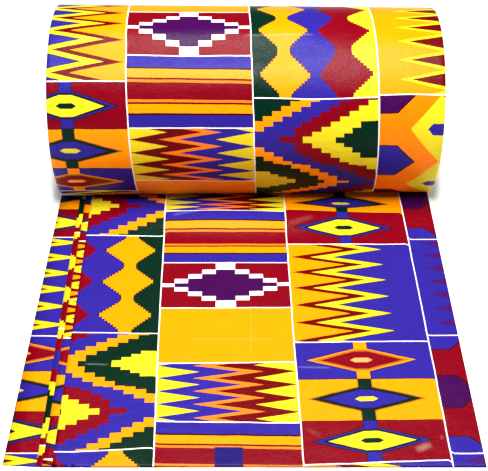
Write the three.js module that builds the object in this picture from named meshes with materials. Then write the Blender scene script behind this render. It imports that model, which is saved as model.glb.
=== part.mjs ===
import * as THREE from 'three';

// A roll of printed cotton, doubled lengthwise and wound without a core.
// Its loose end comes out from under the roll and lies flat in front of it.
// Millimetres, +Z up, +X to the right, -Y towards the front.
// The origin is on the surface, under the middle of the roll.

// Roll
const rollWidth = 590;
const radiusAtLeft = 154;
const radiusAtRight = 149;
const axisHeight = 109;
const cornerRadius = 30;

// Loose end
const layerThickness = 1;
const layerGap = 0.6;
const frontEdgeY = -642;
const rollClearance = 0.3;
const lowerEdgeXAtFront = -303;
const lowerEdgeXAtRear = -297;
const upperEdgeX = -262;
const foldXAtFront = 297.5;
const foldXAtRear = 295;

// Fineness of the faces
const wrapSteps = 54;
const cornerSteps = 4;
const lengthSteps = 14;
const sheetSteps = 20;
const topSteps = 20;
const bottomSteps = 4;
const foldSteps = 4;

// Soft ridges and hollows of the wrapped face.
// angle is measured from the top, positive towards the front, in degrees.
const wrapFolds = [
  { angle: 12, halfAngle: 13, height: 2.4, fromX: -330, toX: 150 },
  { angle: 27, halfAngle: 14, height: -2.2, fromX: -330, toX: 150 },
  { angle: 44, halfAngle: 14, height: 1.8, fromX: -330, toX: 90 },
  { angle: 22, halfAngle: 12, height: 1.4, fromX: 130, toX: 330 },
  { angle: 64, halfAngle: 16, height: -1.2, fromX: -100, toX: 250 },
  { angle: 92, halfAngle: 18, height: 1.2, fromX: -330, toX: 330 },
  { angle: -38, halfAngle: 18, height: -1.6, fromX: -330, toX: 60 },
  { angle: -70, halfAngle: 16, height: 1.6, fromX: -200, toX: 330 },
  { angle: -100, halfAngle: 16, height: -1.2, fromX: -330, toX: 200 },
];
const foldEaseX = 90;

// Face of each end of the roll, from the rim to the open eye in the middle.
// share is the part of the way out from the axis, inset is how far in it lies.
const endFace = [
  { share: 1, inset: 4 },
  { share: 0.985, inset: 1 },
  { share: 0.95, inset: 0 },
  { share: 0.78, inset: 1.5 },
  { share: 0.74, inset: 4 },
  { share: 0.5, inset: 3 },
  { share: 0.46, inset: 5.5 },
  { share: 0.2, inset: 6.5 },
  { share: 0.1, inset: 9 },
  { share: 0.07, inset: 10 },
];

// Low swells of the loose end's upper layer, where it is slack.
const slackSwells = [
  { x: -40, y: -166, halfX: 300, halfY: 56, height: 11 },
  { x: 120, y: -330, halfX: 190, halfY: 70, height: 1.5 },
  { x: -120, y: -470, halfX: 170, halfY: 80, height: 1.2 },
];

const lerp = THREE.MathUtils.lerp;
const degrees = THREE.MathUtils.degToRad;

// Smooth hill, 1 in the middle and 0 from one half width out
function hill(offset, halfWidth) {
  const share = Math.min(Math.abs(offset / halfWidth), 1);
  return Math.cos((share * Math.PI) / 2) ** 2;
}

// 1 between two ends, easing to 0 inside them
function stretch(value, from, to, ease) {
  const rise = THREE.MathUtils.smoothstep(value, from, from + ease);
  const fall = THREE.MathUtils.smoothstep(value, to - ease, to);
  return rise * (1 - fall);
}

function wrapRelief(angle, x) {
  let relief = 0;
  for (const fold of wrapFolds) {
    const across = hill(angle - degrees(fold.angle), degrees(fold.halfAngle));
    relief += fold.height * across * stretch(x, fold.fromX, fold.toX, foldEaseX);
  }
  return relief;
}

function rollRadius(x) {
  return lerp(radiusAtLeft, radiusAtRight, x / rollWidth + 0.5);
}

// Centre of the rounded lower corner, as a distance from the roll's middle plane
function cornerReach(x) {
  return Math.sqrt((rollRadius(x) - cornerRadius) ** 2 - (axisHeight - cornerRadius) ** 2);
}

// Section of the roll at x, from the front end of the flat spot round to its back end
function rollSection(x) {
  const radius = rollRadius(x);
  const reach = cornerReach(x);
  const cornerAngle = Math.atan2(axisHeight - cornerRadius, reach);
  const corner = [];
  for (let i = 0; i < cornerSteps; i += 1) {
    const below = lerp(Math.PI / 2, cornerAngle, i / cornerSteps);
    corner.push({
      y: reach + cornerRadius * Math.cos(below),
      z: cornerRadius - cornerRadius * Math.sin(below),
    });
  }
  const halfWrap = Math.PI / 2 + cornerAngle;
  const wrap = [];
  for (let i = 0; i <= wrapSteps; i += 1) {
    const angle = lerp(halfWrap, -halfWrap, i / wrapSteps);
    const r = radius + wrapRelief(angle, x);
    wrap.push({ y: -r * Math.sin(angle), z: axisHeight + r * Math.cos(angle) });
  }
  const frontCorner = corner.map(({ y, z }) => ({ y: -y, z }));
  return [...frontCorner, ...wrap, ...corner.reverse()];
}

// Closed mesh over rings of equal count
function loft(rings) {
  const count = rings[0].length;
  const position = rings.flat(2);
  const faces = [];
  for (let j = 0; j + 1 < rings.length; j += 1) {
    for (let i = 0; i < count; i += 1) {
      const a = j * count + i;
      const b = j * count + ((i + 1) % count);
      faces.push([a, b, a + count], [b, b + count, a + count]);
    }
  }
  const last = (rings.length - 1) * count;
  for (const [a, b, c] of capTriangles(count)) {
    faces.push([a, c, b], [last + a, last + b, last + c]);
  }
  if (signedVolume(position, faces) < 0) {
    faces.forEach((face) => face.reverse());
  }
  const geometry = new THREE.BufferGeometry();
  geometry.setAttribute('position', new THREE.Float32BufferAttribute(position, 3));
  geometry.setIndex(faces.flat());
  geometry.computeVertexNormals();
  return geometry;
}

function signedVolume(position, faces) {
  const corner = (i) => new THREE.Vector3().fromArray(position, i * 3);
  let volume = 0;
  for (const [a, b, c] of faces) {
    volume += corner(a).dot(corner(b).cross(corner(c))) / 6;
  }
  return volume;
}

// Triangles that close a ring, laid between its two halves as a strip
function capTriangles(count) {
  const faces = [];
  for (let a = 0; a < count - 2 - a; a += 1) {
    const b = count - 1 - a;
    faces.push([a, a + 1, b]);
    if (a + 1 < b - 1) {
      faces.push([a + 1, b - 1, b]);
    }
  }
  return faces;
}

function rollRing(x, share, inset) {
  const toMiddle = x < 0 ? 1 : -1;
  return rollSection(x).map(({ y, z }) => [
    x + toMiddle * inset,
    share * y,
    axisHeight + share * (z - axisHeight),
  ]);
}

function rollGeometry() {
  const rings = [];
  const left = -rollWidth / 2;
  const right = rollWidth / 2;
  for (const { share, inset } of [...endFace].reverse()) {
    rings.push(rollRing(left, share, inset));
  }
  for (let i = 1; i < lengthSteps; i += 1) {
    rings.push(rollRing(lerp(left, right, i / lengthSteps), 1, 0));
  }
  for (const { share, inset } of endFace) {
    rings.push(rollRing(right, share, inset));
  }
  return loft(rings);
}

// Height that the slack upper layer stands above its resting place
function slackHeight(x, y) {
  let height = 0;
  for (const swell of slackSwells) {
    height += swell.height * hill(x - swell.x, swell.halfX) * hill(y - swell.y, swell.halfY);
  }
  return height;
}

// Where the loose end meets the roll, just clear of its lower corner
function rearEdgeY(x) {
  const height = 2 * layerThickness + layerGap;
  const bulge = Math.sqrt(cornerRadius ** 2 - (cornerRadius - height) ** 2);
  return -(cornerReach(x) + bulge + rollClearance);
}

// Doubled section of the loose end, as [x, z, share of the slack] in order round it
function doubledSection(lowerEdgeX, foldX) {
  const total = 2 * layerThickness + layerGap;
  const turnX = foldX - total / 2;
  const outline = [];
  const run = (fromX, toX, z, steps, slack) => {
    for (let i = 0; i <= steps; i += 1) {
      outline.push([lerp(fromX, toX, i / steps), z, slack]);
    }
  };
  const turn = (radius, from, to) => {
    for (let i = 1; i < foldSteps; i += 1) {
      const angle = lerp(from, to, i / foldSteps);
      outline.push([turnX + radius * Math.cos(angle), total / 2 + radius * Math.sin(angle), 0]);
    }
  };
  const quarter = Math.PI / 2;
  run(lowerEdgeX, turnX, 0, bottomSteps, 0);
  turn(total / 2, -quarter, quarter);
  run(turnX, upperEdgeX, total, topSteps, 1);
  run(upperEdgeX, turnX, total - layerThickness, topSteps, 1);
  turn(layerGap / 2, quarter, -quarter);
  run(turnX, lowerEdgeX, layerThickness, bottomSteps, 0);
  return outline;
}

function looseEndGeometry() {
  const rings = [];
  for (let j = 0; j <= sheetSteps; j += 1) {
    const share = j / sheetSteps;
    const outline = doubledSection(
      lerp(lowerEdgeXAtFront, lowerEdgeXAtRear, share),
      lerp(foldXAtFront, foldXAtRear, share),
    );
    rings.push(
      outline.map(([x, z, slack]) => {
        const y = lerp(frontEdgeY, rearEdgeY(x), share);
        return [x, y, z + slack * slackHeight(x, y)];
      }),
    );
  }
  return loft(rings);
}

// Printed cotton, with the gold of the print as its plain colour
function printedCotton() {
  return new THREE.MeshStandardMaterial({ color: 0xe8b21a, roughness: 0.7, metalness: 0 });
}

function namedMesh(name, geometry) {
  const mesh = new THREE.Mesh(geometry, printedCotton());
  mesh.name = name;
  return mesh;
}

const fabric = new THREE.Group();
fabric.add(namedMesh('cloth_roll', rollGeometry()));
fabric.add(namedMesh('cloth_loose_end', looseEndGeometry()));

export default fabric;
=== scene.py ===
import bisect
import math

import bmesh
import bpy
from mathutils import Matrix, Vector, noise


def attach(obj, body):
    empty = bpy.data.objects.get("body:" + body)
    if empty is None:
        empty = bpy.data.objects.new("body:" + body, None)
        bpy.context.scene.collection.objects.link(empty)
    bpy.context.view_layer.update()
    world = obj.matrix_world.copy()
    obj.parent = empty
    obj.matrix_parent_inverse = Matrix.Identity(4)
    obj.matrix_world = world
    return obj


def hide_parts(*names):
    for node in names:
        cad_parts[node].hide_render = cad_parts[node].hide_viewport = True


# A roll of kente-print cotton with a doubled loose end, dressed over its solids.
# Shapes and print are worked out in millimetres and written to the meshes in metres.
# +X is to the right, -Y towards the viewer, and the cloth rests on the floor at z = 0.

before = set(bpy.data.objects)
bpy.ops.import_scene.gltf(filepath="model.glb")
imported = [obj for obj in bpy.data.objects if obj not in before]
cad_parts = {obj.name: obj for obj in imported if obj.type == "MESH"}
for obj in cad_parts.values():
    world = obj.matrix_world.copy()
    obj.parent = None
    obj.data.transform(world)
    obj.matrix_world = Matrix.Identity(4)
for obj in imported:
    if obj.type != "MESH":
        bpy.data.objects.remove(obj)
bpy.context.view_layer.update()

MM = 0.001

# Camera: its place in metres, its lens and sensor in millimetres
CAMERA_PLACE = (-0.002, -1.421, 1.0635)
CAMERA_DOWN = math.radians(41.23)
CAMERA_LENS = 76.94
SENSOR_WIDTH = 36

# Studio, in metres and watts
LIGHT_PLACE = (0, -0.5, 2.2)
LIGHT_AIM = (0, -0.28, 0.1)
LIGHT_SIZE = (0.36, 1.35)
LIGHT_POWER = 111
WORLD_GLOW = 0.1
FLOOR_REACH = 6
FLOOR_GLOW = 0.2
FLOOR_ROUGHNESS = 0.9
FLOOR_SHADE = 0.93
FLOOR_MOTTLE = 0.03
FLOOR_MOTTLE_SCALE = 30.0

# Roll: the sizes of its solid, with both ends and the left radius a little further out
ROLL_WIDTH = 590
ROLL_ENDS = (-295.5, 298)
RADIUS_AT_LEFT = 154.8
RADIUS_AT_RIGHT = 149
AXIS_HEIGHT = 109
CORNER_RADIUS = 30
WRAP_STEPS = 220
CORNER_STEPS = 10
FLAT_STEPS = 8
LENGTH_STEPS = 110

# Ridges and hollows of the wrapped face: angle from the top towards the front and half
# angle in degrees, height, and the stretch of the width that each one runs over
WRAP_FOLDS = [
    (12, 13, 2.4, -330, 150),
    (27, 14, -2.2, -330, 150),
    (44, 14, 1.8, -330, 90),
    (22, 12, 1.4, 130, 330),
    (64, 16, -1.2, -100, 250),
    (92, 18, 1.2, -330, 330),
    (-38, 18, -1.6, -330, 60),
    (-70, 16, 1.6, -200, 330),
    (-100, 16, -1.2, -330, 200),
]
FOLD_EASE = 90

# Rounded rim at each end: distance in from the end and share of the radius
RIM_SHARE = 0.988
RIM = [(0, RIM_SHARE), (1, 0.997)]
RIM_WIDTH = 4

# Wound layers that show at each end of the roll
END_TURNS = 84
END_STEPS = 96
EYE_SHARE = 0.07
EYE_DEPTH = 24
GROOVE_DEPTH = 1.5
LEAST_INSET = 0.1

# How far in the layers lie, by their share of the radius
END_INSETS = [
    (0.07, 8),
    (0.1, 7.5),
    (0.2, 6),
    (0.46, 5),
    (0.5, 3),
    (0.74, 3.6),
    (0.78, 1.5),
    (0.95, 0.4),
    (1, 0.4),
]

# Uneven winding: its mean and reach in millimetres, and the noise's step from turn to turn,
# its swing round a turn, and how far apart it is read for the two ends
WANDER_MEAN = 0.5
WANDER_REACH = 0.8
WANDER_STEP = 0.9
WANDER_SWING = 0.8
WANDER_APART = 7.3
ONE_ROUND = 6.28

# Loose end. A pair of places belongs to the front edge and to the roll.
SHEET_THICKNESS = 0.5
SHEET_RISE = 0.6
SHEET_LAYERS = 4
FRONT_EDGE = -642
ROLL_CLEARANCE = 0.3
SOLID_HEIGHT = 2.6
OUTER_EDGE = (-300.8, -297)
TOP_EDGE = (-239, -247)
FOLD_EDGE = (297.5, 295)
CORNER_SHORT = 2.6
SHEET_ROWS = 120
SHEET_COLUMNS = 120
LOWER_COLUMNS = 30
BEND_STEPS = 8

# Low swells of the upper layer: middle, half sizes and height
SWELLS = [
    (-40, -166, 300, 56, 11),
    (120, -330, 190, 70, 1.5),
    (-120, -470, 170, 80, 1.2),
]

# Print: size of a column and of the repeat, and the white lines between its blocks,
# for each column along the repeat
COLUMN = 187
COLUMNS = 4
PRINT_WIDTH = COLUMNS * COLUMN
PRINT_LENGTH = 408
LINE_HALF_WIDTH = 0.9
EYES_START, EYES_END = 5.8, 210.4
STRIPES_END, ZIGZAG_END, GOLD_END, DIAMOND_END = 72.3, 173.1, 278.1, 373.1
CHEVRONS_START, CHEVRONS_END = 26.9, 228.8
PENTAGONS_START, PENTAGONS_END = 23.8, 223
BLOCK_LINES = [
    (EYES_START, EYES_END),
    (STRIPES_END, ZIGZAG_END, GOLD_END, DIAMOND_END),
    (CHEVRONS_START, CHEVRONS_END),
    (PENTAGONS_START, PENTAGONS_END),
]

# One navy patch at the front edge: both sides across the cloth, and its end along it
PATCH_LEFT, PATCH_RIGHT, PATCH_END = 1010, 1046, 32.7

# Where the print lies on the roll: the line after the first column, at the top of the roll,
# its slant, the stretch across, and the place along the print at the top
ROLL_LINE = -180.2
ROLL_LINE_SLANT = 0.0285
ROLL_STRETCH = 0.997
ROLL_TOP_PRINT = 295.3 + 2 * PRINT_LENGTH

# How far the print lies from its even place along the roll's arc, where the cloth is drawn
# tighter or looser: x, then (arc from the top towards the front, shift)
ROLL_SLIP = [
    (
        -240,
        [(-95, 2), (-13, 0), (21, 0.9), (56, 2.9), (91, -1.4), (121, -4), (194, -8.3), (291, -6)],
    ),
    (
        -90,
        [(-95, 2), (-15, 1), (30, 1.8), (78, -2.8), (135, -4.5), (190, -6.1), (286, -7.6)],
    ),
    (
        95,
        [(-95, 4), (1, 4.5), (38, 4.7), (68, 3.4), (110, -5.2), (145, -5.5), (206, -4.5), (285, -9.6)],
    ),
    (
        240,
        [(-95, 2), (-13, 3), (6, 5), (33, 9), (60, 4)]
        + [(136, 0), (185, -1.3), (210, -5.3), (262, -9), (285, -14)],
    ),
]

# The same along the loose end: place across the print, then (distance from the front edge, shift)
TOP_SLIP = [
    (
        744,
        [(25, 4), (60, 5), (124, 3.9), (223, 1.9), (330, 4.5), (388, 6.5), (420, 9), (450, 9.5)],
    ),
    (
        752,
        [(6, -4.2), (73, 0), (143, 0.8), (210, 0), (413, 2), (486, -5), (507, 10)],
    ),
    (
        931,
        [(6, 3.6), (73, 2.9), (143, 3), (210, 2.6), (413, 2), (448, 1.5), (486, -5), (507, 10.4)],
    ),
    (
        939,
        [(72, 5), (172, 1.2), (278, 3), (373, 3), (480, 0), (490, 7), (505, 14)],
    ),
    (
        1118,
        [(72, 1.9), (172, 5.5), (278, 3.5), (325, 4.5), (373, 3), (480, 0), (490, 7), (505, 14)],
    ),
    (
        1126,
        [(27, -1.1), (229, 4.7), (263, 3), (332, 3.5), (401, 3.5), (435, 6), (500, 4)],
    ),
    (
        1223,
        [(27, 4.8), (229, 2.4), (435, 2.8), (500, -4.8)],
    ),
]

# Lines between the print's columns on the loose end: x at three distances from the front edge.
# The middle one lies five columns along the print.
TOP_LINES = [
    [(0, -114), (250, -121.6), (536, -127.4)],
    [(0, 72), (250, 66.4), (536, 62)],
    [(0, 256), (250, 252.8), (536, 248.4)],
]
MIDDLE_LINE_PRINT = 5 * COLUMN

# Print of the lower layer: place across it at the outer edge, stretch, and shift along it
LOWER_PRINT = 88.5
LOWER_STRETCH = 0.9
OUTER_SLIP = [(0, -16), (170, -13), (215, -10.5), (300, -16), (540, -16)]

# Narrow edges tucked under the upper layer: visible left edge at the front, in the middle
# and at the rear, how far it runs in under the layer above, its layer from the floor, and
# the place and stretch of its print at the left edge
TUCKED_EDGES = {
    "tucked_edge_lower": ((-258.7, -262.8, -266), 60, 1, 536.5, 0.95),
    "tucked_edge_upper": ((-251, -254, -257), 50, 2, PRINT_WIDTH + 126.5, 1),
}
TUCKED_STEPS = 8
TUCKED_FRONT = 2
TUCKED_REAR = 1
TUCKED_SLIP = 6

# Inks as sRGB reflectance. The photo is overexposed: its colours are about twice as bright.
INK = {
    "white": (237, 233, 233),
    "cream": (239, 153, 84),
    "gold": (249, 140, 0),
    "amber": (246, 120, 1),
    "orange": (235, 117, 28),
    "yellow": (216, 196, 29),
    "red": (114, 0, 17),
    "maroon": (95, 0, 4),
    "blue": (40, 29, 130),
    "navy": (26, 17, 92),
    "violet": (58, 17, 92),
    "green": (0, 33, 20),
    "purple": (55, 3, 65),
    "umber": (45, 4, 7),
    "olive": (40, 37, 11),
    "overprint": (23, 18, 14),
}

# Faint creases in the cloth, in print millimetres: both ends, half width, height, and how far each
# lightens the colour, for ink worn off the fold and a painted highlight along it
CREASES = [
    ((992.3, 284), (994.9, 190), 1.3, 0.1, 0.25),
    ((1084, 217), (962, 215.5), 1.6, 0.1, 0.25),
    ((1222, 171), (1186, 169), 2.2, 0.2, 0.6),
    ((936, 165.5), (886, 163.5), 2.4, 0.2, 0.5),
    ((931, 62), (909, 49), 5, 0.2, 0.15),
    ((934, 453), (890, 469), 6, 0.3, 0.2),
    ((1112, 470), (1062, 483), 5, 0.3, 0.35),
    ((793, 22), (769, 33), 7, 0.5, 0.9),
    ((755, 48), (756, 38), 2.5, 0.3, 0.8),
    ((362, 1157.5), (470, 1156), 2.6, 0.3, 0.5),
]
CREASE_EASE = 9
# Cream colour the creases are lightened towards, for worn ink and a painted highlight
WORN_AND_GLINT_COLOUR = (0.93, 0.84, 0.72, 1)

# Surface of the cloth: sizes of what its noises draw, in millimetres
SLOW_STRAY_SIZE = 45
FINE_STRAY_SIZE = 3.5
SLUB_WIDTH = 0.9
SLUB_LENGTH = 14
BLOTCH_SIZE = 26
RUMPLE_SIZE = (34, 26)
PUCKER_SIZE = 9
SPECKLE_SIZE = 2.4
# Size of the noise that breaks up the creases' lightening, worn ink with a painted highlight
WEAR_AND_GLINT_SIZE = 2.2
YARN_PITCH = 0.5

# How far the print strays from its even place, and how far apart the noises for it are read
SLOW_STRAY = 1.6
FINE_STRAY = 0.7
NOISE_APART = 900
FINE_NOISE_APART = 300

# Heights on the cloth, in millimetres
RUMPLE_HEIGHT = 1.1
PUCKER_HEIGHT = 0.16
SPECKLE_HEIGHT = 0.3
WEAVE_HEIGHT = 0.03
SLUB_HEIGHT = 0.14

# Tone and roughness of the cloth: the least of each, and what the noises add
LEAST_TONE = 0.79
SLUB_TONE = 0.18
BLOTCH_TONE = 0.08
LEAST_ROUGHNESS = 0.22
SPECKLE_ROUGHNESS = 0.14
BLOTCH_ROUGHNESS = 0.06
SPECULAR_LEVEL = 0.085

# Points nearer to each other than this, in metres, are joined
WELD = 0.00001


def lerp(a, b, share):
    return a + (b - a) * share


def hill(offset, half_width):
    share = min(abs(offset / half_width), 1)
    return math.cos(share * math.pi / 2) ** 2


def smooth(value, start, end):
    share = min(max((value - start) / (end - start), 0), 1)
    return share * share * (3 - 2 * share)


def stretch(value, start, end, ease):
    return smooth(value, start, start + ease) * (1 - smooth(value, end - ease, end))


def through(pairs, value):
    """Value of a line through (place, value) pairs."""
    places = [place for place, _ in pairs]
    i = min(max(bisect.bisect(places, value), 1), len(pairs) - 1)
    (a, low), (b, high) = pairs[i - 1], pairs[i]
    return lerp(low, high, min(max((value - a) / (b - a), 0), 1))


# Shapes


def roll_radius(x):
    return lerp(RADIUS_AT_LEFT, RADIUS_AT_RIGHT, x / ROLL_WIDTH + 0.5)


def corner_reach(x):
    inner = roll_radius(x) - CORNER_RADIUS
    return math.sqrt(inner**2 - (AXIS_HEIGHT - CORNER_RADIUS) ** 2)


def wrap_relief(angle, x):
    relief = 0
    for middle, half, height, start, end in WRAP_FOLDS:
        across = hill(math.degrees(angle) - middle, half)
        relief += height * across * stretch(x, start, end, FOLD_EASE)
    return relief


def roll_section(x, wrap_steps=WRAP_STEPS):
    """Section at x as (y, z), from the front end of the flat spot over the top and back to it."""
    reach = corner_reach(x)
    corner_angle = math.atan2(AXIS_HEIGHT - CORNER_RADIUS, reach)
    corner = []
    for i in range(CORNER_STEPS):
        below = lerp(math.pi / 2, corner_angle, i / CORNER_STEPS)
        y = reach + CORNER_RADIUS * math.cos(below)
        corner.append((y, CORNER_RADIUS - CORNER_RADIUS * math.sin(below)))
    half_wrap = math.pi / 2 + corner_angle
    wrap = []
    for i in range(wrap_steps + 1):
        angle = lerp(half_wrap, -half_wrap, i / wrap_steps)
        r = roll_radius(x) + wrap_relief(angle, x)
        wrap.append((-r * math.sin(angle), AXIS_HEIGHT + r * math.cos(angle)))
    flat = [(lerp(reach, -reach, i / FLAT_STEPS), 0) for i in range(1, FLAT_STEPS + 1)]
    return [(-y, z) for y, z in corner] + wrap + corner[::-1] + flat


def towards_axis(x, section, share):
    """The section at x, drawn in towards the roll's axis."""
    return [(x, y * share, AXIS_HEIGHT + (z - AXIS_HEIGHT) * share) for y, z in section]


def arcs(section, top):
    """Length along the section from the point at index top, positive towards the front."""
    run = [0]
    for (y, z), (y2, z2) in zip(section, section[1:]):
        run.append(run[-1] + math.hypot(y2 - y, z2 - z))
    return [run[top] - s for s in run]


def slack_height(x, y):
    return sum(
        height * hill(x - at_x, half_x) * hill(y - at_y, half_y)
        for at_x, at_y, half_x, half_y, height in SWELLS
    )


def rear_edge(x):
    """Where the loose end meets the roll, just clear of its lower corner."""
    bulge = math.sqrt(CORNER_RADIUS**2 - (CORNER_RADIUS - SOLID_HEIGHT) ** 2)
    return -(corner_reach(x) + bulge + ROLL_CLEARANCE)


# Where the print lies on the cloth


def print_on_roll(x, arc):
    line = ROLL_LINE + ROLL_LINE_SLANT * arc
    slip = through([(at, through(pairs, arc)) for at, pairs in ROLL_SLIP], x)
    return COLUMN + (x - line) * ROLL_STRETCH, arc + slip + ROLL_TOP_PRINT


def print_on_top(x, y):
    v = y - FRONT_EDGE
    left, middle, right = (through(line, v) for line in TOP_LINES)
    width = middle - left if x < middle else right - middle
    u = MIDDLE_LINE_PRINT + (middle - x) * COLUMN / width
    return u, v + through([(at, through(pairs, v)) for at, pairs in TOP_SLIP], u)


def print_on_lower(x, y):
    v = y - FRONT_EDGE
    return LOWER_PRINT - (x - OUTER_EDGE[0]) * LOWER_STRETCH, v + through(OUTER_SLIP, v)


# Meshes


class Cloth:
    """Gathers grids of points, each with its place on the print, into one mesh."""

    def __init__(self):
        self.points = []
        self.places = []
        self.faces = []

    def grid(self, rows, prints, flip=False):
        start = len(self.points)
        count = len(rows[0])
        for row, places in zip(rows, prints):
            self.points += row
            self.places += places
        for j in range(len(rows) - 1):
            for i in range(count - 1):
                a = start + j * count + i
                face = (a, a + 1, a + count + 1, a + count)
                self.faces.append(face[::-1] if flip else face)

    def tube(self, rings, prints):
        """Grid over closed rings, with both of its ends closed by a strip."""
        self.grid([ring + ring[:1] for ring in rings], [row + row[:1] for row in prints])
        half = len(rings[0]) // 2
        there, back = slice(half), slice(-1, -half - 1, -1)
        for j in (0, -1):
            ring, places = rings[j], prints[j]
            self.grid([ring[there], ring[back]], [places[there], places[back]], flip=j == 0)

    def mesh(self, name):
        mesh = bpy.data.meshes.new(name)
        mesh.from_pydata([[c * MM for c in p] for p in self.points], [], self.faces)
        layer = mesh.uv_layers.new(name="cloth")
        for loop in mesh.loops:
            layer.data[loop.index].uv = [c * MM for c in self.places[loop.vertex_index]]
        work = bmesh.new()
        work.from_mesh(mesh)
        bmesh.ops.remove_doubles(work, verts=work.verts, dist=WELD)
        bmesh.ops.recalc_face_normals(work, faces=work.faces)
        work.to_mesh(mesh)
        work.free()
        mesh.shade_smooth()
        piece = bpy.data.objects.new(name, mesh)
        bpy.context.collection.objects.link(piece)
        return piece


def add_roll_face(cloth):
    left, right = ROLL_ENDS
    inner = (left + RIM_WIDTH, right - RIM_WIDTH)
    rings = [(left + inset, share) for inset, share in RIM]
    rings += [(lerp(*inner, i / LENGTH_STEPS), 1) for i in range(LENGTH_STEPS + 1)]
    rings += [(right - inset, share) for inset, share in reversed(RIM)]
    top = CORNER_STEPS + WRAP_STEPS // 2
    rows, prints = [], []
    for x, share in rings:
        section = roll_section(x)
        rows.append(towards_axis(x, section, share))
        prints.append([print_on_roll(x, arc) for arc in arcs(section, top)])
    cloth.grid(rows, prints)


def wander(turn, round_share, side):
    """Uneven winding of the layers, in millimetres."""
    swing = math.sin(round_share * ONE_ROUND) * WANDER_SWING
    place = Vector((turn * WANDER_STEP, side * WANDER_APART, swing))
    return WANDER_MEAN + WANDER_REACH * noise.noise(place)


def add_roll_end(cloth, side):
    """Wound edges of the layers at one end, as one spiral strip from the rim to the eye."""
    end = ROLL_ENDS[side > 0]
    wrap_steps = END_STEPS - 2 * CORNER_STEPS - FLAT_STEPS
    section = roll_section(end, wrap_steps)
    steps = len(section) - 1
    around = arcs(section, CORNER_STEPS + wrap_steps // 2)
    pitch = (RIM_SHARE - EYE_SHARE) / END_TURNS
    edge_print = print_on_roll(end, 0)[0]
    v = print_on_roll(end, around[-1])[1]
    valleys, crests, places = [], [], []
    for n in range(steps * END_TURNS + 1):
        i = steps - n % steps
        share = RIM_SHARE - pitch * n / steps
        inset = through(END_INSETS, share) + wander(n // steps, i / steps, side)
        for points, at, depth in ((valleys, share, GROOVE_DEPTH), (crests, share - pitch / 2, 0)):
            x = end - side * max(inset + depth, LEAST_INSET)
            points += towards_axis(x, section[i : i + 1], at)
        places.append((edge_print, v))
        v += share * abs(around[i] - around[i - 1])
    outer = len(crests) - steps
    cloth.grid([valleys, crests], [places, places])
    cloth.grid([crests[:outer], valleys[steps:]], [places[:outer], places[:outer]])
    eye = crests[-steps - 1 :]
    deep = [(end - side * EYE_DEPTH, y, z) for _, y, z in eye]
    middle = [(end - side * EYE_DEPTH, 0, AXIS_HEIGHT)] * len(eye)
    cloth.grid([eye, deep, middle], [places[-steps - 1 :]] * 3)


def make_roll():
    cloth = Cloth()
    add_roll_face(cloth)
    for side in (-1, 1):
        add_roll_end(cloth, side)
    return cloth.mesh("wound_roll")


def sheet_outline(outer_edge, fold, top_edge):
    """Doubled section as (x, z, share of the slack) in order round it."""
    total = SHEET_LAYERS * SHEET_RISE
    inner = total - 2 * SHEET_THICKNESS
    turn = fold - total / 2
    quarter = math.pi / 2

    def run(start, end, z, slack, count):
        return [(lerp(start, end, i / count), z, slack) for i in range(count + 1)]

    def bend(radius, start, end):
        angles = [lerp(start, end, i / BEND_STEPS) for i in range(1, BEND_STEPS)]
        return [(turn + radius * math.cos(a), total / 2 + radius * math.sin(a), 0) for a in angles]

    lower = run(outer_edge, turn, 0, 0, LOWER_COLUMNS) + bend(total / 2, -quarter, 0)
    upper = bend(total / 2, 0, quarter) + run(turn, top_edge, total, 1, SHEET_COLUMNS)
    under = run(top_edge, turn, total - SHEET_THICKNESS, 1, SHEET_COLUMNS)
    inside = bend(inner / 2, quarter, -quarter)
    floor_layer = run(turn, outer_edge, SHEET_THICKNESS, 0, LOWER_COLUMNS)
    return lower + [(fold, total / 2, 0)] + upper + under + inside + floor_layer


def make_loose_end():
    cloth = Cloth()
    rings, prints = [], []
    for j in range(SHEET_ROWS + 1):
        share = j / SHEET_ROWS
        outline = sheet_outline(*(lerp(*edge, share) for edge in (OUTER_EDGE, FOLD_EDGE, TOP_EDGE)))
        ring, places = [], []
        for x, z, slack in outline:
            front = FRONT_EDGE + CORNER_SHORT * (1 - smooth(x, OUTER_EDGE[0], TOP_EDGE[0]))
            y = lerp(front, rear_edge(x), share)
            ring.append((x, y, z + slack * slack_height(x, y)))
            places.append(print_on_top(x, y) if z > SHEET_RISE else print_on_lower(x, y))
        rings.append(ring)
        prints.append(places)
    cloth.tube(rings, prints)
    return cloth.mesh("loose_end")


def make_tucked_edge(name, edges, tuck, layer, edge_print, print_stretch):
    """A narrow band that shows beside the upper layer's edge and runs in under it."""
    cloth = Cloth()
    low = layer * SHEET_RISE
    rings, prints = [], []
    for j in range(SHEET_ROWS + 1):
        share = j / SHEET_ROWS
        edge = through([(0, edges[0]), (0.5, edges[1]), (1, edges[2])], share)
        under, places = [], []
        for i in range(TUCKED_STEPS + 1):
            x = lerp(edge, edge + tuck, i / TUCKED_STEPS)
            y = lerp(FRONT_EDGE + TUCKED_FRONT, rear_edge(x) - TUCKED_REAR, share)
            under.append((x, y, low))
            u = edge_print - (x - edge) * print_stretch
            places.append((u, y - FRONT_EDGE - TUCKED_SLIP))
        over = [(x, y, low + SHEET_THICKNESS) for x, y, _ in reversed(under)]
        rings.append(under + over)
        prints.append(places + places[::-1])
    cloth.tube(rings, prints)
    return cloth.mesh(name)


# Print, worked out by the nodes of one material


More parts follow.
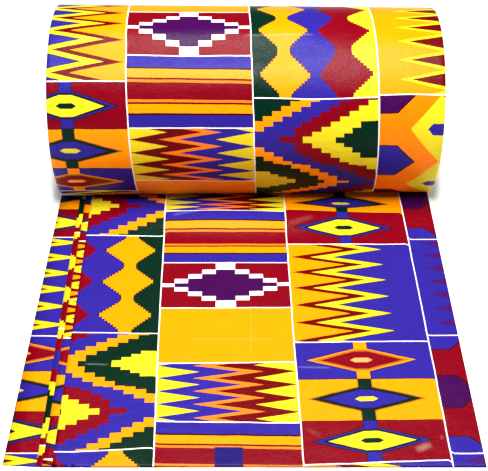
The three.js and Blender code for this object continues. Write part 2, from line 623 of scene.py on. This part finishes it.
class Field:
    """A number or colour that varies over the cloth, as the output of a node."""

    tree = None

    def __init__(self, socket):
        self.socket = socket

    def __add__(self, other):
        return maths("ADD", self, other)

    def __radd__(self, other):
        return maths("ADD", self, other)

    def __sub__(self, other):
        return maths("SUBTRACT", self, other)

    def __rsub__(self, other):
        return maths("SUBTRACT", other, self)

    def __mul__(self, other):
        return maths("MULTIPLY", self, other)

    def __truediv__(self, other):
        return maths("DIVIDE", self, other)

    def __mod__(self, other):
        return maths("FLOORED_MODULO", self, other)

    def __gt__(self, other):
        return maths("GREATER_THAN", self, other)

    def __lt__(self, other):
        return maths("LESS_THAN", self, other)

    def __abs__(self):
        return maths("ABSOLUTE", self)


def connect(source, socket):
    if isinstance(source, Field):
        Field.tree.links.new(source.socket, socket)
    else:
        socket.default_value = source


def node(kind, **settings):
    """A new node, with its inputs joined or set and its other settings made by name."""
    made = Field.tree.nodes.new(kind)
    for name, value in settings.items():
        if name in made.inputs:
            connect(value, made.inputs[name])
        else:
            setattr(made, name, value)
    return made


def maths(operation, *values):
    made = node("ShaderNodeMath", operation=operation)
    for value, socket in zip(values, made.inputs):
        connect(value, socket)
    return Field(made.outputs[0])


def least(a, b):
    return maths("MINIMUM", a, b)


def most(a, b):
    return maths("MAXIMUM", a, b)


def floor(a):
    return maths("FLOOR", a)


def either(a, b):
    """1 where one test or the other is 1."""
    return most(a, b)


def choose(test, yes, no):
    """yes where test is 1, no where it is 0, for numbers."""
    made = node("ShaderNodeMix")
    connect(test, made.inputs[0])
    connect(no, made.inputs[2])
    connect(yes, made.inputs[3])
    return Field(made.outputs[0])


def choose_ink(test, yes, no):
    """yes where test is 1, no where it is 0, for colours."""
    made = node("ShaderNodeMix", data_type="RGBA")
    connect(test, made.inputs[0])
    connect(no, made.inputs[6])
    connect(yes, made.inputs[7])
    return Field(made.outputs[2])


def by_column(column, chooser, options):
    """The option of the column, counted from 0 to 3."""
    left_pair = chooser(column > 0.5, options[1], options[0])
    right_pair = chooser(column > 2.5, options[3], options[2])
    return chooser(column > 1.5, right_pair, left_pair)


def linear(channel):
    c = channel / 255
    return c / 12.92 if c <= 0.04045 else ((c + 0.055) / 1.055) ** 2.4


def ink_colour(name):
    return (*(linear(c) for c in INK[name]), 1)


def inks(count, *names):
    """The named ink for each whole number that count takes, from 0."""
    made = node("ShaderNodeValToRGB")
    ramp = made.color_ramp
    ramp.interpolation = "CONSTANT"
    for i, name in enumerate(names):
        stop = ramp.elements[i] if i < 2 else ramp.elements.new(1)
        stop.position = i / len(names)
        stop.color = ink_colour(name)
    connect((count + 0.5) / len(names), made.inputs[0])
    return Field(made.outputs[0])


def passed(value, *limits):
    """How many of the rising limits the value has passed."""
    count = value > limits[0]
    for limit in limits[1:]:
        count = count + (value > limit)
    return count


def teeth(along, tip, pitch):
    """0 at each tip, 1 half a pitch on, straight between."""
    return abs(((along - tip) / pitch + 0.5) % 1 - 0.5) * 2


# Motifs, measured on the photo in print millimetres.
# s runs across a column from its left line, and v along the repeat from its start.


def eyes(s, v):
    """Three lens shapes on a stem, each in its own cell."""
    first_line, second_line = 73, 143.5
    first_middle, pitch, last_short = 40.4, 68.9, 1.2
    stem_middle, stem_half = 96.8, 9
    cell = passed(v, first_line, second_line)
    in_second_or_third = cell > 0.5
    in_third = cell > 1.5
    across = abs(s - stem_middle)
    along = abs(v - (first_middle + cell * pitch - in_third * last_short))

    def lens(half_length, half_height):
        slope = half_height / (half_length - stem_half)
        return along < least(half_height, (half_length - across) * slope)

    outer = either(lens(74.5, 20), across < stem_half)
    inner = lens(56.5, 15.4)
    pupil = lens(15.5, 3.9)
    part = outer + inner + pupil
    first = inks(part, "red", "blue", "yellow", "green")
    second = inks(part, "gold", "green", "blue", "yellow")
    third = inks(part, "blue", "gold", "red", "cream")
    picture = choose_ink(in_second_or_third, choose_ink(in_third, third, second), first)
    halo = either(lens(80, 21.6), across < 10.2) - outer
    rim = either(lens(66, 18.6) - inner, halo)
    rim_strength = 0.9 - in_second_or_third * 0.35
    picture = choose_ink(rim * rim_strength, ink_colour("overprint"), picture)
    between = least(abs(v - first_line), abs(v - second_line)) < 0.6
    return choose_ink(between, ink_colour("umber"), picture)


def long_zigzag(s, v):
    w = teeth(v, tip=230.8, pitch=34.2)
    limits = (40 + w * 77, 44.5 + w * 76.5, 75 + w * 79, 103 + w * 80)
    return inks(passed(s, *limits), "blue", "olive", "yellow", "maroon", "gold")


def stripes(v):
    """Stripes on both sides of a red band, which lies across the start of the repeat."""
    middle = (DIAMOND_END + PRINT_LENGTH + STRIPES_END) / 2
    cut = 200
    out = abs((v - cut) % PRINT_LENGTH + cut - middle)
    limits = (11.2, 12.2, 16.0, 18.8, 31.9, 34.6)
    names = ("red", "maroon", "orange", "maroon", "gold", "umber", "blue")
    return inks(passed(out, *limits), *names)


def short_zigzag(s, v):
    w = teeth(v, tip=157.2, pitch=22.4)
    limits = (w * 57, 44 + w * 66, 74 + w * 65, 130 + w * 57)
    return inks(passed(s, *limits), "yellow", "maroon", "orange", "blue", "yellow")


def diamond(s, v):
    """Stepped purple lozenge with a white edge, on red."""
    middle_half, step_width, last_step = 14.4, 20, 4
    across = abs(s - COLUMN / 2)
    along = abs(v - (GOLD_END + DIAMOND_END) / 2)
    step = least(most(floor((across - middle_half) / step_width + 1), 0), last_step)
    purple = along < 32.5 - step * 9.4
    post = (across < middle_half) * 60
    white_edge = most(41.9 - step * 9.6, post)
    return inks(purple + (along < white_edge), "red", "white", "purple")


def stepped_waves(s, v):
    pitch, step_length, last_step = 68.6, 3.8, 8
    from_tip = teeth(v, tip=263.5, pitch=pitch) * (pitch / 2)
    step = least(floor(from_tip / step_length), last_step)
    share = least(step * 0.145, 0.8 + step * 0.025)
    limits = (
        12.5 + share * 26.5,
        85.2 - share * 28.5,
        86.8 - share * 28.5,
        101 + share * 23,
        179 - share * 30,
    )
    return inks(passed(s, *limits), "green", "gold", "overprint", "blue", "red", "yellow")


def chevrons(s, v):
    """Nested arrow heads with stepped edges, between two triangles."""
    near_middle, far_middle, change = 62.7, 144.2, 103.5
    step_length, step_width = 7.7, 14
    along = v - CHEVRONS_START
    near = abs(along - near_middle)
    far = abs(along - far_middle)
    beyond = along > change
    near_step = most(floor((near - 5) / step_length + 1), 0)
    far_step = most(floor((far - 16) / step_length + 1), 0)
    shift = choose(beyond, 10 - far_step, near_step) * step_width
    tip = beyond * (far < 5)
    thin_tip = beyond * (far < 3.2)
    point = (1 - beyond) * (near < 5)
    limits = (
        most(shift - 42.3, tip * 107.7),
        most(shift - 13.3, thin_tip * 145.5),
        choose(point, 38, most(shift + 29, 60)) + beyond * (far < 8) * 18,
        shift + 73,
    )
    bands = inks(passed(s, *limits), "green", "gold", "blue", "red", "yellow")
    dark_edge = 122 + passed(near, 4.5, 10.6, 18.8) * 12.6 + (near > 28) * 100
    light_edge = 62 - passed(far, 5.8, 11.5, 17.3) * 13 - (far > 23.5) * 100
    dark = (1 - beyond) * (s > dark_edge)
    light = beyond * (s < light_edge)
    return choose_ink(light, ink_colour("yellow"), choose_ink(dark, ink_colour("green"), bands))


def comb(s, v):
    pitch = 28.9
    w = teeth(v, 237.4, pitch)
    late = teeth(v, 247.5, pitch)
    limits = (32 + w * 68, 49 + w * 77, 150 - late * 52, 172 - late * 50)
    return inks(passed(s, *limits), "gold", "yellow", "maroon", "violet", "blue")


def pentagons(s, v):
    """Pentagons at both sides, with lozenges and hexagons between them."""
    half, rim_width, half_height = 100.3, 1.2, 26.5
    side_reach, point_slope = 27, 1.02
    along = v - PENTAGONS_START
    at_middle = abs(along - half)
    at_ends = abs(at_middle - half)
    low, high = s, COLUMN - s

    def body(reach, gap, more):
        tall = half_height + more
        return (gap < tall) * (reach < side_reach + more + (tall - gap) * point_slope)

    def pair(low_gap, high_gap, more):
        return either(body(low, low_gap, more), body(high, high_gap, more))

    rim = either(pair(at_ends, at_middle, rim_width), pair(at_middle, at_ends, rim_width))
    picture = inks(s > COLUMN / 2, "amber", "red")
    picture = choose_ink(rim, ink_colour("umber"), picture)
    picture = choose_ink(pair(at_ends, at_middle, 0), ink_colour("purple"), picture)
    picture = choose_ink(pair(at_middle, at_ends, 0), ink_colour("blue"), picture)
    across = abs(s - COLUMN / 2)
    in_cell = abs(at_middle - 50)
    lozenge = across < 45.5 - floor(in_cell / 1.8) * 1.65
    picture = choose_ink(lozenge, ink_colour("yellow"), picture)
    hexagon_half = 20.5
    hexagon = (in_cell < least(8, hexagon_half - across)) * (across < hexagon_half)
    return choose_ink(hexagon, ink_colour("blue"), picture)


def carried_on(along, start):
    """Place along the repeat, carried on past its end for what lies before start."""
    return along + (along < start) * PRINT_LENGTH


def second_column(s, along, u, v):
    in_zigzag = (along > STRIPES_END) * (along < ZIGZAG_END)
    in_gold = (along > ZIGZAG_END) * (along < GOLD_END)
    in_diamond = (along > GOLD_END) * (along < DIAMOND_END)
    picture = choose_ink(in_zigzag, short_zigzag(s, along), stripes(along))
    picture = choose_ink(in_diamond, diamond(s, along), picture)
    picture = choose_ink(in_gold, ink_colour("gold"), picture)
    patch = (u > PATCH_LEFT) * (u < PATCH_RIGHT) * (v < PATCH_END)
    return choose_ink(patch, ink_colour("navy"), picture)


def print_colour(u, v):
    """Ink at (u, v) millimetres across and along the cloth."""
    across = u % PRINT_WIDTH
    column = floor(across / COLUMN)
    s = across - column * COLUMN
    along = v % PRINT_LENGTH

    in_eyes = (along > EYES_START) * (along < EYES_END)
    first = choose_ink(in_eyes, eyes(s, along), long_zigzag(s, carried_on(along, EYES_START)))
    second = second_column(s, along, u, v)
    wave_along = carried_on(along, CHEVRONS_START)
    waves = stepped_waves(s, wave_along)
    third = choose_ink(wave_along > CHEVRONS_END, waves, chevrons(s, along))
    comb_along = carried_on(along, PENTAGONS_START)
    fourth = choose_ink(comb_along > PENTAGONS_END, comb(s, comb_along), pentagons(s, along))
    picture = by_column(column, choose_ink, [first, second, third, fourth])

    gaps = []
    for lines in BLOCK_LINES:
        gap = abs(along - lines[0])
        for line in lines[1:]:
            gap = least(gap, abs(along - line))
        gaps.append(gap)
    gap = by_column(column, choose, gaps)
    in_line = least(gap, least(s, COLUMN - s)) < LINE_HALF_WIDTH
    return choose_ink(in_line, ink_colour("white"), picture)


# Surface of the cloth


def grain(u, v, width, length, detail=2.0):
    """Noise from 0 to 1 with features of the given size across and along the cloth."""
    place = node("ShaderNodeCombineXYZ", X=u / width, Y=v / length)
    made = node("ShaderNodeTexNoise", noise_dimensions="2D", Scale=1.0, Detail=detail)
    Field.tree.links.new(place.outputs[0], made.inputs["Vector"])
    return Field(made.outputs[0])


def weave(u, v, pitch):
    """Height of a plain weave, 0 to 1."""
    over = (floor(u / pitch) + floor(v / pitch)) % 2
    along_warp = maths("SINE", (u / pitch % 1) * math.pi) * (0.6 + over * 0.4)
    along_weft = maths("SINE", (v / pitch % 1) * math.pi) * (1 - over * 0.4)
    return most(along_warp, along_weft)


def crease(u, v, start, end, half_width):
    """1 along the line from start to end, easing to 0 beside it and at its ends."""
    (u0, v0), (u1, v1) = start, end
    length = math.hypot(u1 - u0, v1 - v0)
    du, dv = (u1 - u0) / length, (v1 - v0) / length
    along = (u - u0) * du + (v - v0) * dv
    across = abs((u - u0) * dv - (v - v0) * du)
    ends = most(least(least(along, length - along) / CREASE_EASE, 1), 0)
    return ends * most(1 - across / half_width, 0)


def all_creases(u, v):
    """Lightening and height of all the creases together; the lightening is worn ink and a painted
    highlight.
    """
    worn_and_glinting, raised = 0, 0
    for start, end, half_width, height, wear_and_glint in CREASES:
        line = crease(u, v, start, end, half_width)
        worn_and_glinting = line * wear_and_glint + worn_and_glinting
        raised = line * height + raised
    return least(worn_and_glinting, 1), raised


def stray(slow, fine):
    """How far the print strays from its even place, by two noises."""
    return (slow - 0.5) * SLOW_STRAY + (fine - 0.5) * FINE_STRAY


def stray_print(u, v):
    """Place on the print at a place on the cloth."""
    slow, fine = SLOW_STRAY_SIZE, FINE_STRAY_SIZE
    across = stray(grain(u, v, slow, slow), grain(u + NOISE_APART, v, fine, fine))
    along = stray(grain(u, v + NOISE_APART, slow, slow), grain(u, v + FINE_NOISE_APART, fine, fine))
    return u + across, v + along


def print_material():
    material = bpy.data.materials.new("printed_cotton")
    material.use_nodes = True
    Field.tree = material.node_tree
    shader = Field.tree.nodes["Principled BSDF"]
    place = node("ShaderNodeUVMap", uv_map="cloth")
    parts = node("ShaderNodeSeparateXYZ", Vector=Field(place.outputs[0]))
    u = Field(parts.outputs[0]) / MM
    v = Field(parts.outputs[1]) / MM

    slubs = grain(u, v, SLUB_WIDTH, SLUB_LENGTH) + grain(u, v, SLUB_LENGTH, SLUB_WIDTH)
    blotch = grain(u, v, BLOTCH_SIZE, BLOTCH_SIZE)
    speckle = grain(u, v, SPECKLE_SIZE, SPECKLE_SIZE, 3.0)
    crease_wear_and_glint, crease_height = all_creases(u, v)

    tone = LEAST_TONE + slubs * SLUB_TONE + blotch * BLOTCH_TONE
    toned = node("ShaderNodeVectorMath", operation="SCALE", Scale=tone)
    Field.tree.links.new(print_colour(*stray_print(u, v)).socket, toned.inputs[0])
    # Creases lightened towards cream, partly ink worn off the folds and partly a painted highlight
    worn_and_glinting = crease_wear_and_glint * (0.35 + (grain(u, v, WEAR_AND_GLINT_SIZE, WEAR_AND_GLINT_SIZE) - 0.5) * 0.8)
    final = choose_ink(most(worn_and_glinting, 0) * 0.5, WORN_AND_GLINT_COLOUR, Field(toned.outputs[0]))
    connect(final, shader.inputs["Base Color"])

    roughness = LEAST_ROUGHNESS + speckle * SPECKLE_ROUGHNESS + blotch * BLOTCH_ROUGHNESS
    connect(roughness, shader.inputs["Roughness"])
    shader.inputs["Specular IOR Level"].default_value = SPECULAR_LEVEL
    rumple = grain(u, v, *RUMPLE_SIZE, 3.0) * RUMPLE_HEIGHT
    pucker = grain(u, v, PUCKER_SIZE, PUCKER_SIZE) * PUCKER_HEIGHT
    height = rumple + pucker + speckle * SPECKLE_HEIGHT + crease_height
    height = height + weave(u, v, YARN_PITCH) * WEAVE_HEIGHT + slubs * SLUB_HEIGHT
    bump = node("ShaderNodeBump", Strength=1.0, Distance=MM, Height=height)
    Field.tree.links.new(bump.outputs[0], shader.inputs["Normal"])
    return material


# Scene


def make_camera():
    data = bpy.data.cameras.new("camera")
    data.lens = CAMERA_LENS
    data.sensor_width = SENSOR_WIDTH
    camera = bpy.data.objects.new("camera", data)
    camera.location = CAMERA_PLACE
    camera.rotation_euler = (math.pi / 2 - CAMERA_DOWN, 0, 0)
    bpy.context.collection.objects.link(camera)
    bpy.context.scene.camera = camera


def make_floor():
    mesh = bpy.data.meshes.new("floor")
    corners = [(x * FLOOR_REACH, y * FLOOR_REACH, 0) for x, y in ((-1, -1), (1, -1), (1, 1), (-1, 1))]
    mesh.from_pydata(corners, [], [(0, 1, 2, 3)])
    floor_piece = bpy.data.objects.new("floor", mesh)
    bpy.context.collection.objects.link(floor_piece)
    material = bpy.data.materials.new("pale_floor")
    material.use_nodes = True
    shader = material.node_tree.nodes["Principled BSDF"]
    Field.tree = material.node_tree
    place = Field(node("ShaderNodeTexCoord").outputs["Object"])
    mottle = Field(node("ShaderNodeTexNoise", Scale=FLOOR_MOTTLE_SCALE, Vector=place).outputs[0])
    shade = FLOOR_SHADE + mottle * FLOOR_MOTTLE
    colour = node("ShaderNodeCombineColor", Red=shade, Green=shade, Blue=shade)
    connect(Field(colour.outputs[0]), shader.inputs["Base Color"])
    shader.inputs["Emission Color"].default_value = (1, 1, 1, 1)
    shader.inputs["Emission Strength"].default_value = FLOOR_GLOW
    shader.inputs["Roughness"].default_value = FLOOR_ROUGHNESS
    mesh.materials.append(material)


def make_light(name, place, aim, size, power):
    data = bpy.data.lights.new(name, "AREA")
    data.shape = "RECTANGLE"
    data.size, data.size_y = size
    data.energy = power
    lamp = bpy.data.objects.new(name, data)
    lamp.location = place
    lamp.rotation_euler = (Vector(aim) - Vector(place)).to_track_quat("-Z", "Y").to_euler()
    bpy.context.collection.objects.link(lamp)


def make_world():
    world = bpy.data.worlds.new("studio")
    world.use_nodes = True
    background = world.node_tree.nodes["Background"]
    background.inputs["Color"].default_value = (1, 1, 1, 1)
    background.inputs["Strength"].default_value = WORLD_GLOW
    bpy.context.scene.world = world


make_camera()
make_world()
make_floor()
make_light("overhead", LIGHT_PLACE, LIGHT_AIM, LIGHT_SIZE, LIGHT_POWER)
bpy.context.scene.view_settings.view_transform = "Standard"

cotton = print_material()
roll = make_roll()
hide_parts("cloth_roll")
loose_end = make_loose_end()
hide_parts("cloth_loose_end")
strips = [make_tucked_edge(name, *sizes) for name, sizes in TUCKED_EDGES.items()]

for piece in [roll, loose_end, *strips]:
    piece.data.materials.append(cotton)
    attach(piece, "root")
